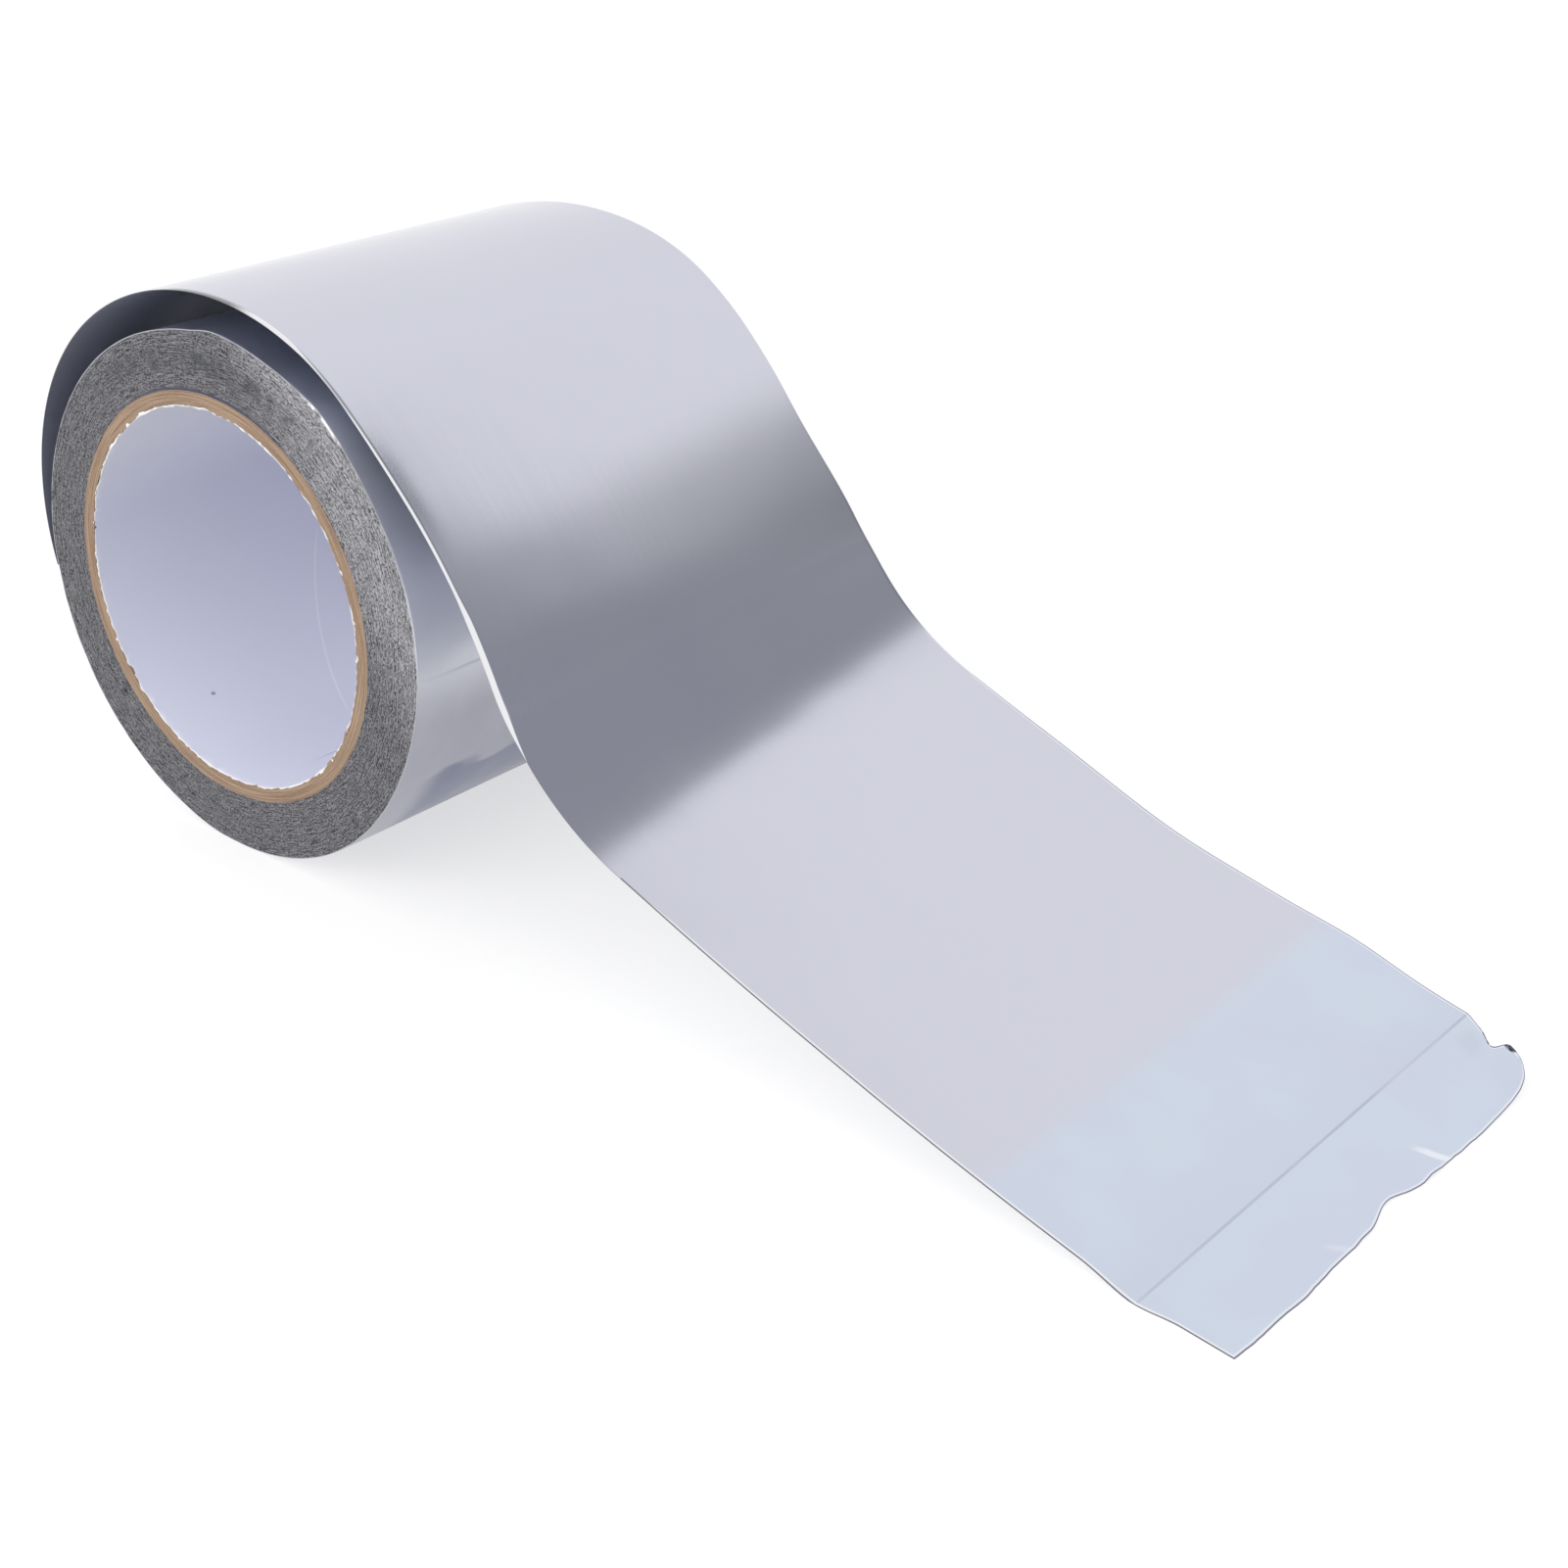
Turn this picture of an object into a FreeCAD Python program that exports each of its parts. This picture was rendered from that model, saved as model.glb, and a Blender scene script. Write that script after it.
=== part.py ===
"""Roll of aluminium foil tape, partly unrolled, lying on its round side.

Frame, in millimetres: the origin is the centre of the core's bore, +Y runs along the bore, +Z is up,
and the tape unrolls towards +X.  The roll and the end of the tape rest on the same flat surface.
"""
import FreeCAD, Part
import math
import os

# ------------------------------------------------------------------ driving dimensions
TAPE_WIDTH = 100.0
TAPE_THICKNESS = 0.15
PACK_RADIUS = 53.1            # outside of the tightly wound turns
PACK_SHIFT_X = 1.2            # the turns are wound a little off the core's centre
PACK_SHIFT_Z = 0.1
BORE_RADIUS = 38.1            # standard 3-inch core
LINER_THICKNESS = 0.4         # white paper ply glued inside the core
CORE_RADIUS = 41.3            # outside of the board core
CORE_EDGE_BREAK = 0.3         # worn outer corners of the cut board
FLAT_SPOT_WIDTH = 9.0         # where the wound roll has settled under its own weight

# The outermost turn has let go of the roll.  Seen from the side it is a chain of tangent arcs,
# each given as (length, turn in degrees), and it starts where the turn peels off the roll.
PEEL_PLACE = 187.4            # angle round the roll, degrees from +X
PEEL_ANGLE = 10.0             # between the loose turn and the roll
LOOSE_TURN = [
    (57.8, -65.9),            # springs away from the roll
    (53.4, -55.3),            # over the top
    (24.7, -28.6),            # down its shoulder
    (18.8, -4.1),             # straight descent
    (37.9, -20.4),            # steepest part
    (40.9, 48.2),             # bends back towards the surface
    (118.8, 10.1),            # long ramp down to the crease
]
LEAN_START = 45.0             # up to here the loose turn is square to the roll

# The lines across the tape lean as it unrolls: each step is (from, to, amount), measured along
# the tape, and the amount is the sideways run for each unit of width.
LEAN_X = [(45, 85, -0.044), (95, 150, 0.063), (165, 205, 0.057), (215, 320, 0.025)]
LEAN_Z = [(80, 150, 0.064), (170, 210, 0.036), (215, 255, -0.007)]
SECTION_SPACING = 11.0

# End flap, beyond the crease across the tape.
FLAP_FRONT_LENGTH = 17.6
FLAP_BACK_LENGTH = 13.9
FLAP_REACH = 14.5             # distance in which the flap comes down to the surface
FLAP_BEND = 1.5               # half the length over which it then levels out
CORNER_ROUND = 4.2            # the worn back corner
# Places along the torn end: (fraction of the width, half width as a fraction, depth in mm).
BITES = [(0.06, 0.05, -0.35), (0.20, 0.07, -0.6), (0.51, 0.06, 2.0), (0.80, 0.09, -0.35)]
PLEATS = [(0.40, 0.03, 0.35), (0.64, 0.025, 0.5)]
CORNER_LIFT = 3.2             # the back corner stands off the surface
LIFT_ALONG = (5.6, 9.2)       # distances from the crease between which it rises
LIFT_FROM = 0.92              # fraction of the width where it starts to rise
CURL_RADIUS = 0.6             # and its rim curls up on itself
CURL_REACH = 2.55             # how far in the curl starts, along the diagonal
CURL_HEADING = 68.0           # degrees from the length of the tape to the diagonal
FLAP_ROWS = [0.12, 0.24, 0.36, 0.46, 0.54, 0.61, 0.68, 0.74, 0.80, 0.85, 0.90, 0.95, 1.0]
PLAIN_COLUMNS = 28            # over the width up to the lifted corner
LIFTED_COLUMNS = 5            # from there to the rounded corner
ROUND_COLUMNS = 9             # round the corner

SURFACE_Z = PACK_SHIFT_Z - math.sqrt(PACK_RADIUS ** 2 - (FLAT_SPOT_WIDTH / 2) ** 2)
HALF_WIDTH = TAPE_WIDTH / 2
Vector = FreeCAD.Vector


def ramp(value, start, end):
    """Smooth step from 0 to 1."""
    t = min(max((value - start) / (end - start), 0.0), 1.0)
    return t * t * (3 - 2 * t)


def lean(steps, distance):
    return sum(amount * ramp(distance, start, end) for start, end, amount in steps)


def heading(distance):
    """Direction of the loose turn in the side view, in radians from +X."""
    angle = PEEL_PLACE - 90 + PEEL_ANGLE
    start = 0.0
    for length, turn in LOOSE_TURN:
        part = min(max(distance - start, 0.0), length)
        angle += turn * part / length
        start += length
    return math.radians(angle)


def across(distance):
    """Unit vector from the tape's front edge to its back edge."""
    line = Vector(lean(LEAN_X, distance), 1.0, lean(LEAN_Z, distance))
    return line.normalize()


def forward(distance):
    """Unit vector along the tape's front edge, square to the line across."""
    angle = heading(distance)
    line = across(distance)
    along = Vector(math.cos(angle), 0, math.sin(angle))
    along.y = -(along.x * line.x + along.z * line.z) / line.y
    return along.normalize()


def frame_at(point, distance):
    line = across(distance)
    outward = forward(distance).cross(line).normalize()
    return point, line, outward


def on_roll(degrees):
    """Point of the wound turns' outline at the front end of the roll."""
    angle = math.radians(degrees)
    x = PACK_SHIFT_X + PACK_RADIUS * math.cos(angle)
    return Vector(x, -HALF_WIDTH, PACK_SHIFT_Z + PACK_RADIUS * math.sin(angle))


def loose_frames():
    """Front-edge point, line across and outward normal at even steps along the loose turn."""
    point = on_roll(PEEL_PLACE)
    frames = [frame_at(point, 0)]
    length = sum(step[0] for step in LOOSE_TURN)
    steps = 4 * round(length / SECTION_SPACING)
    step = length / steps
    for index in range(steps):
        point = point + forward((index + 0.5) * step) * step
        if index % 4 == 3:
            frames.append(frame_at(point, (index + 1) * step))
    return frames


def spline(points):
    curve = Part.BSplineCurve()
    curve.interpolate(points)
    return curve.toShape()


def flap_length(b):
    """Length of the flap at the fraction b of the width: a torn end with a rounded back corner."""
    straight = FLAP_FRONT_LENGTH + (FLAP_BACK_LENGTH - FLAP_FRONT_LENGTH) * b
    torn = straight - sum(depth * math.exp(-((b - at) / wide) ** 2) for at, wide, depth in BITES)
    past_corner = min(max(b * TAPE_WIDTH - (TAPE_WIDTH - CORNER_ROUND), 0.0), CORNER_ROUND)
    return torn - (CORNER_ROUND - math.sqrt(CORNER_ROUND ** 2 - past_corner ** 2))


def settled(distance):
    """Share of the crease's height that the flap has come down by."""
    bending = min(max(distance - FLAP_REACH + FLAP_BEND, 0.0), 2 * FLAP_BEND)
    return (min(distance, FLAP_REACH + FLAP_BEND) - bending ** 2 / (4 * FLAP_BEND)) / FLAP_REACH


def raised(b, a, distance):
    """Height of the small pleats that run in from the torn end, and of the lifted back corner."""
    pleats = sum(height * math.exp(-((b - at) / wide) ** 2) for at, wide, height in PLEATS) * a * a
    return pleats + CORNER_LIFT * ramp(distance, *LIFT_ALONG) * ramp(b, LIFT_FROM, 1.0)


def flap_point(front, back, a, b):
    """Point of the flap at the fraction a of its length and b of the tape's width."""
    start = front + (back - front) * b
    line = Vector(back.x - front.x, back.y - front.y, 0).normalize()
    away = line.cross(Vector(0, 0, 1))
    distance = a * flap_length(b)
    drop = (start.z - SURFACE_Z - TAPE_THICKNESS) * settled(distance)

    # distance past the line about which the rim of the back corner curls, along the diagonal
    turn = math.radians(CURL_HEADING)
    from_corner = (FLAP_BACK_LENGTH - distance) * math.cos(turn) + (1 - b) * TAPE_WIDTH * math.sin(turn)
    past = max(CURL_REACH - from_corner, 0.0)
    rolled = past / CURL_RADIUS
    diagonal = away * math.cos(turn) + line * math.sin(turn)
    point = start + away * distance + diagonal * (CURL_RADIUS * math.sin(rolled) - past)
    point.z = start.z - drop + raised(b, a, distance) + CURL_RADIUS * (1 - math.cos(rolled))
    return point


def flap_normal(front, back, a, b):
    """Upward normal of the flap, from differences of nearby points."""
    da = 0.01
    db = 0.002
    low_a = max(a - da, 0.0)
    high_a = min(a + da, 1.0)
    low_b = max(b - db, 0.0)
    high_b = min(b + db, 1.0)
    along = flap_point(front, back, high_a, b) - flap_point(front, back, low_a, b)
    line = flap_point(front, back, a, high_b) - flap_point(front, back, a, low_b)
    return along.cross(line).normalize()


def surface(grid):
    """Cubic surface that follows a grid of points as its control points, so without wiggles."""
    sheet = Part.BSplineSurface()
    repeats = [[4] + [1] * (count - 4) + [4] for count in (len(grid), len(grid[0]))]
    knots = [list(range(len(counts))) for counts in repeats]
    sheet.buildFromPolesMultsKnots(grid, *repeats, *knots, False, False, 3, 3)
    return sheet


def border(sheet, side):
    """One of the four border curves of a surface, as an edge."""
    u_low, u_high, v_low, v_high = sheet.bounds()
    curves = {
        "start": lambda: sheet.uIso(u_low),
        "end": lambda: sheet.uIso(u_high),
        "front": lambda: sheet.vIso(v_low),
        "back": lambda: sheet.vIso(v_high),
    }
    return curves[side]().toShape()


def flap_columns():
    """Fractions of the tape's width, closer together over the lifted and rounded back corner."""
    round_start = 1 - CORNER_ROUND / TAPE_WIDTH
    columns = [LIFT_FROM * index / PLAIN_COLUMNS for index in range(PLAIN_COLUMNS)]
    step = (round_start - LIFT_FROM) / LIFTED_COLUMNS
    columns += [LIFT_FROM + step * index for index in range(LIFTED_COLUMNS)]
    for index in range(ROUND_COLUMNS + 1):
        angle = math.radians(90 * index / ROUND_COLUMNS)
        columns.append(round_start + CORNER_ROUND / TAPE_WIDTH * math.sin(angle))
    return columns


def flap_grids(frames):
    """Points of the flap's upper and under side, row by row from the crease to the torn end."""
    point, line, outward = frames[-1]
    under_front = point
    under_back = point + line * TAPE_WIDTH
    front = under_front + outward * TAPE_THICKNESS
    back = under_back + outward * TAPE_THICKNESS
    columns = flap_columns()
    upper = [[front + (back - front) * b for b in columns]]
    under = [[under_front + (under_back - under_front) * b for b in columns]]
    for a in FLAP_ROWS:
        top_row = [flap_point(front, back, a, b) for b in columns]
        normals = [flap_normal(front, back, a, b) for b in columns]
        upper.append(top_row)
        under.append([top - normal * TAPE_THICKNESS for top, normal in zip(top_row, normals)])
    return upper, under


def free_tape_faces(frames):
    """Skin of the tape from where it leaves the flat section to its torn end, open at its start."""
    outer_front = [point + outward * TAPE_THICKNESS for point, line, outward in frames]
    outer_back = [point + line * TAPE_WIDTH + outward * TAPE_THICKNESS for point, line, outward in frames]
    inner_front = [point for point, line, outward in frames]
    inner_back = [point + line * TAPE_WIDTH for point, line, outward in frames]
    edges = [spline(points) for points in (outer_front, outer_back, inner_back, inner_front)]
    faces = [Part.makeRuledSurface(edges[index], edges[(index + 1) % 4], 1) for index in range(4)]

    upper, under = [surface(grid) for grid in flap_grids(frames)]
    faces += [upper.toShape(), under.toShape()]
    for side in ("front", "back", "end"):
        faces.append(Part.makeRuledSurface(border(upper, side), border(under, side), 1))
    return faces


def roll_outline(frames, count):
    """Edges of the side view of the wound turns and the first frames of the loose turn.

    The last edge is the open end, where the rest of the tape goes on.
    """
    half_flat = FLAT_SPOT_WIDTH / 2
    flat_left = Vector(PACK_SHIFT_X - half_flat, -HALF_WIDTH, SURFACE_Z)
    flat_right = Vector(PACK_SHIFT_X + half_flat, -HALF_WIDTH, SURFACE_Z)
    inner = [frames[index][0] for index in (0, count // 2, count)]
    outer = [frames[index][0] + frames[index][2] * TAPE_THICKNESS for index in (0, count // 2, count)]

    # the outer face runs straight on, back from the peeling place, until it meets the roll
    centre = Vector(PACK_SHIFT_X, -HALF_WIDTH, PACK_SHIFT_Z)
    start = outer[0] - centre
    back = forward(0) * -1
    slope = start.dot(back)
    run = -slope - math.sqrt(slope ** 2 - start.dot(start) + PACK_RADIUS ** 2)
    meets = outer[0] + back * run
    return [
        Part.Arc(flat_right, on_roll(90), inner[0]).toShape(),
        Part.Arc(inner[0], inner[1], inner[2]).toShape(),
        Part.Arc(outer[2], outer[1], outer[0]).toShape(),
        Part.makeLine(outer[0], meets),
        Part.Arc(meets, on_roll(225), flat_left).toShape(),
        Part.makeLine(flat_left, flat_right),
        Part.makeLine(inner[2], outer[2]),
    ]


def make_foil_tape():
    """The wound turns, the loose turn and its tail: one strip of tape, so one solid."""
    frames = loose_frames()
    straight = sum(1 for place in range(len(frames)) if place * SECTION_SPACING < LEAN_START) - 1
    outline = roll_outline(frames, straight)
    through = Vector(0, TAPE_WIDTH, 0)
    core_rim = Part.makeCircle(CORE_RADIUS, Vector(0, -HALF_WIDTH, 0), Vector(0, 1, 0))
    rim_wires = [Part.Wire(Part.__sortEdges__(outline)), Part.Wire(core_rim)]
    end_face = Part.Face(rim_wires, "Part::FaceMakerBullseye")
    far_face = end_face.copy()
    far_face.translate(through)
    faces = [end_face, far_face, core_rim.extrude(through)]
    faces += [edge.extrude(through) for edge in outline[:-1]]
    faces += free_tape_faces(frames[straight:])
    skin = Part.Compound(faces)
    skin.sewShape()
    return Part.Solid(skin.Shells[0])


def cylinder(radius):
    return Part.makeCylinder(radius, TAPE_WIDTH, Vector(0, -HALF_WIDTH, 0), Vector(0, 1, 0))


def make_core_tube():
    """Board core, the outer corners of its cut ends slightly worn."""
    tube = cylinder(CORE_RADIUS).cut(cylinder(BORE_RADIUS + LINER_THICKNESS))
    outer_rims = [edge for edge in tube.Edges if is_rim(edge, CORE_RADIUS)]
    return tube.makeChamfer(CORE_EDGE_BREAK, outer_rims)


def is_rim(edge, radius):
    return isinstance(edge.Curve, Part.Circle) and abs(edge.Curve.Radius - radius) < 1e-6


def make_core_liner():
    """White paper ply inside the core: the wall of the bore."""
    return cylinder(BORE_RADIUS + LINER_THICKNESS).cut(cylinder(BORE_RADIUS))


os.makedirs("parts", exist_ok=True)
NODES = {
    "foil_tape": make_foil_tape,
    "core_tube": make_core_tube,
    "core_liner": make_core_liner,
}
for name, make in NODES.items():
    shape = make()
    box = shape.BoundBox
    print(name, shape.ShapeType, len(shape.Solids), shape.isValid(), round(shape.Volume, 1))
    print("   from", [round(value, 1) for value in (box.XMin, box.YMin, box.ZMin)])
    print("   to", [round(value, 1) for value in (box.XMax, box.YMax, box.ZMax)])
    shape.exportStep("parts/" + name + ".step")
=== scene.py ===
"""Looks of the aluminium foil tape roll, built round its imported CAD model.

Everything is in the CAD's frame: the origin is the centre of the core's bore, +Y runs along the bore,
+Z is up and the tape unrolls towards +X.  Shapes are worked out in millimetres and made in metres.
"""
import math

import bpy
import numpy as np
from mathutils import Euler, Matrix, Vector


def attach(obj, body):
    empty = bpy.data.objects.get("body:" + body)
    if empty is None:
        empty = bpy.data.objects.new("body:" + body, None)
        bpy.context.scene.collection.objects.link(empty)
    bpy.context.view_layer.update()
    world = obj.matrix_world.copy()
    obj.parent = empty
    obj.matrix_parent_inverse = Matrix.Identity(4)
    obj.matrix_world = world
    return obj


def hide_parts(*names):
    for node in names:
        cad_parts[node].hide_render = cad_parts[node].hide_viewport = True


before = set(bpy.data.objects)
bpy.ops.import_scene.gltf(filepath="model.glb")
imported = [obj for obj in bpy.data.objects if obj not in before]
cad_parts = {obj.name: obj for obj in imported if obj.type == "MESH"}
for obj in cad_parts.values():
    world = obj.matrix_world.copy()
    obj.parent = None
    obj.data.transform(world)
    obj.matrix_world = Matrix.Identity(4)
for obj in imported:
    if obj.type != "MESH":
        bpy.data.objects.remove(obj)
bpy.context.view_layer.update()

MM = 0.001

# ------------------------------------------------------------------ the CAD model's numbers, mm and degrees
TAPE_WIDTH = 100.0
HALF_WIDTH = TAPE_WIDTH / 2
THICKNESS = 0.15
PACK_RADIUS = 53.1                # outside of the wound turns
PACK_SHIFT = (1.2, 0.1)           # their centre from the core's, along X and Z
FLAT_SPOT_WIDTH = 9.0             # where the roll rests
SURFACE_Z = PACK_SHIFT[1] - math.sqrt(PACK_RADIUS ** 2 - (FLAT_SPOT_WIDTH / 2) ** 2)    # what it rests on
CORE_RADIUS = 41.3                # outside of the board
BORE_RADIUS = 38.1
LINER_THICKNESS = 0.4
PEEL_PLACE = 187.4                # angle round the roll from +X, where the loose turn leaves it
PEEL_ANGLE = 10.0                 # between the loose turn and the roll there
# Arcs of the loose turn in the side view, from where it leaves the roll to the crease: (length, turn).
LOOSE_TURN = [
    (57.8, -65.9), (53.4, -55.3), (24.7, -28.6), (18.8, -4.1), (37.9, -20.4), (40.9, 48.2), (118.8, 10.1),
]
CREASE = sum(length for length, turn in LOOSE_TURN)     # distance along the tape
# How the lines across the tape lean towards +X and +Z, in mm for each mm of width: (from, to, change).
LEAN_X = [(45, 85, -0.044), (95, 150, 0.063), (165, 205, 0.057), (215, 320, 0.025)]
LEAN_Z = [(80, 150, 0.064), (170, 210, 0.036), (215, 255, -0.007)]
FLAP_FRONT_LENGTH = 17.6          # of the flap past the crease
FLAP_BACK_LENGTH = 13.9
FLAP_REACH = 14.5                 # distance in which the flap comes down to the surface
FLAP_BEND = 1.5                   # half the distance in which it then levels out
CORNER_ROUND = 4.2                # radius of the flap's back corner
CORNER_LIFT = 3.2                 # of that corner off the surface
LIFT_ALONG = (5.6, 9.2)           # distances past the crease between which it rises
LIFT_ACROSS = (0.92, 1.0)         # and the shares of the width
# Bites in the torn edge: (place, width, depth), and pleats of the flap: (place, width, height).  Places and
# widths are shares of the tape's width, and a bite of negative depth stands out.
BITES = [(0.06, 0.05, -0.35), (0.20, 0.07, -0.6), (0.51, 0.06, 2.0), (0.80, 0.09, -0.35)]
PLEATS = [(0.40, 0.03, 0.35), (0.64, 0.025, 0.5)]
CURL_RADIUS = 0.6                 # of the back corner, rolled up on itself
CURL_HEADING = 68.0               # from the flap's length to the diagonal that the corner rolls along

# ------------------------------------------------------------------ numbers of the looks only, mm and degrees
CURL_REACH = 1.95                 # how far in from the corner the curl starts, smaller than in the CAD model
CURL_MIDDLE = (0.95, 1.0)         # the curl's middle, where its painted dark reflection is centred: shares of the flap's length and width
# Fine teeth of the torn edge: (height, number across the tape, row of the noise, seed).
TEETH = [(0.10, 38, 0.5, 71), (0.06, 90, 1.5, 72)]
NICK_DEPTH = 0.9                  # in the front edge at the crease
NICK_SPAN = 8.0
NOTCH_DEPTH = 1.0                 # in the flap's back edge, before the curl
NOTCH_PLACE = 7.8
NOTCH_SPREAD = 2.4
FLAP_MARKS_SPAN = 16.0            # how far the attribute "place" runs on past the crease

# Waves of the free foil: (height, length along, length across, seed), and waves of its back edge: (distance
# along the tape, spread, height).
WAVES = [(0.05, 26, 34, 11), (0.02, 9, 12, 12)]
BACK_WAVES = [(286, 20, -1.6), (328, 11, 1.0)]
DENT_DEPTH = 0.05                 # of the front edge, along these distances
DENT_RISE, DENT_FALL = (142, 152), (158, 174)
# Width of the front edge that is rolled over: at the start, and its changes along the tape (from, to, change).
LIP_START = 0.25
LIP_STEPS = [(96, 112, 0.65), (118, 126, -0.35), (174, 181, 0.40), (196, 210, -0.95), (235, 250, 0.6)]
LIP_SLOPE = 0.35                  # of the rolled edge, and how much steeper it gets where the tape is steep
LIP_STEEPER = 0.30
BACK_LIP_WIDTH = 0.7
BACK_LIP_DEPTH = 0.10

# On two stretches the bright side's normals are taken from further back along the tape: (how far back, stretch
# in which that comes, stretch in which it goes).  The lower one grows from the front edge to the back edge.
# MIRROR_CHANGE says in the same way how much of this change of the normals is made.
UPPER_SHIFT = (5.7, (170, 185), (195, 210))
LOWER_SHIFT = (15.9, (199, 213), (213, 233))
LOWER_SHIFT_ACROSS = (-58, 70)
MIRROR_CHANGE = (1.2, (95, 125), (232, 262))
FLAP_FLATTER = 0.85               # share by which the flap's normals are turned to those at the crease

# Outside of the wound turns: (angle round the bore from +X, radius).
OUTSIDE = [
    (-172, 51.6), (-150, 51.5), (-120, 52.0), (-93, 52.95), (-90, 52.80), (-84, 52.95), (-60, 53.3), (-36, 53.3),
    (-23, 53.5), (-1, 54.2), (8, 54.3), (20, 54.4), (31, 54.1), (45, 54.2), (50, 54.6), (56, 54.9), (62, 54.4),
    (72, 53.9), (86, 53.95), (89.5, 53.75), (93, 53.05), (104, 52.6), (120, 52.4), (148, 52.1), (165, 51.9),
    (180, 51.9),
]
# Reliefs of the cut ends: (height, degrees to a cell, cells from the inside out, seed, cells that repeat), and
# of the rims inside the board and at the ends of the paper ply: (height, degrees to a cell, seed, cells).
FACE_RELIEF = [(0.07, 30, 40, 21, 12), (0.05, 3, 63, 22, 60), (0.10, 60, 9, 23, 6)]
BOARD_RELIEF = [(0.06, 5, 14, 34, 72), (0.08, 24, 4, 35, 15)]
RAGGED_BOARD = [(0.30, 5, 31, 72), (0.24, 1.5, 32, 240)]
TORN_PAPER = [(0.14, 3, 41, 120), (0.16, 1.125, 42, 320)]
FACE_SUNK = 0.12                  # depths of the cut ends below the edges of the free tape
BOARD_SUNK = 0.10
LINER_SUNK = 0.20
FAR_FACE_SHARE = 0.8              # of the relief, on the roll's far end
# Distance round in mm to a degree, by which the marks on a surface are laid out.
FACE_ARC = 0.82
SKIN_ARC = -0.92
BOARD_ARC = 0.7
SHARP_ANGLE = 50.0                # edges that are sharper than this aren't smoothed

# ------------------------------------------------------------------ studio, metres and degrees
WHITE = (1.0, 1.0, 1.0)
FLOOR_HALF_SIZE = 3.0
FLOOR_GAP = 0.04                  # below the tape, mm
FLOOR_TONE = (0.45, 0.45, 0.45)
FLOOR_GLOW = 0.62                 # seen and mirrored only, so it adds no light
CAMERA_PLACE = (0.33002, -0.31003, 0.17474)
CAMERA_TARGET = (0.09196, 0.01207, -0.03039)
CAMERA_ROLL = 3.1
CAMERA_LENS = 52.31


# ------------------------------------------------------------------ small helpers
def smooth(value, start, end):
    """Smooth step from 0 to 1."""
    t = np.clip((value - start) / (end - start), 0.0, 1.0)
    return t * t * (3 - 2 * t)


def plateau(value, rise, fall):
    """1 between two stretches: it rises from 0 in the first and falls back to 0 in the second."""
    return smooth(value, *rise) * (1 - smooth(value, *fall))


def bell(value, middle, spread):
    """1 at the middle, falling smoothly to 0 on both sides."""
    return np.exp(-((value - middle) / spread) ** 2)


def sum_of_steps(steps, distance):
    return sum(change * smooth(distance, start, end) for start, end, change in steps)


def unit(vectors):
    return vectors / np.linalg.norm(vectors, axis=-1, keepdims=True)


def value_noise(u, v, seed, wrap=64):
    """Smooth noise from -1 to 1, one cell for each unit of u and v; u repeats after wrap cells."""
    rows = 64
    table = np.random.default_rng(seed).uniform(-1, 1, (wrap, rows))
    u, v = np.broadcast_arrays(np.asarray(u, float), np.asarray(v, float))
    iu = np.floor(u).astype(int)
    iv = np.floor(v).astype(int)
    fu = smooth(u - iu, 0.0, 1.0)
    fv = smooth(v - iv, 0.0, 1.0)
    low = table[iu % wrap, iv % rows] * (1 - fu) + table[(iu + 1) % wrap, iv % rows] * fu
    high = table[iu % wrap, (iv + 1) % rows] * (1 - fu) + table[(iu + 1) % wrap, (iv + 1) % rows] * fu
    return low * (1 - fv) + high * fv


def end_relief(layers, angle, share):
    """Relief of a cut end, in mm, at each angle in degrees and each share of the way out."""
    return sum(
        height * value_noise(angle[:, None] / degrees, share[None] * cells, seed, wrap)
        for height, degrees, cells, seed, wrap in layers
    )


def rim_relief(layers, angle):
    """Unevenness of a rim, in mm, at each angle in degrees."""
    return sum(height * value_noise(angle / degrees, 0.5, seed, wrap) for height, degrees, seed, wrap in layers)


def ring_points(radius, y, theta):
    """Points round the bore from a grid of radii, with one row for each angle."""
    return np.stack([radius * np.cos(theta), np.broadcast_to(y, radius.shape), radius * np.sin(theta)], -1)


def spread_over(shape, *values):
    """Three numbers for each point of a grid."""
    return np.stack([np.broadcast_to(value, shape) for value in values], -1)


def there_and_back(first, second):
    """Two grids side by side, the second one mirrored, so that their rows run round a section."""
    return np.concatenate([first, second[:, ::-1]], axis=1)


def grid_faces(rows, columns, start=0, flip=False):
    """Quads of a grid of points, row by row."""
    faces = []
    for row in range(start, start + (rows - 1) * columns, columns):
        for here in range(row, row + columns - 1):
            quad = [here, here + columns, here + columns + 1, here + 1]
            faces.append(quad[::-1] if flip else quad)
    return faces


def ring_faces(rows, columns, flip=False):
    """Quads of a grid of points that closes on itself both ways."""
    faces = []
    for i in range(rows):
        here = i * columns
        there = (i + 1) % rows * columns
        for j in range(columns):
            k = (j + 1) % columns
            if flip:
                faces.append([here + j, there + j, there + k, here + k])
            else:
                faces.append([here + j, here + k, there + k, there + j])
    return faces


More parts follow.
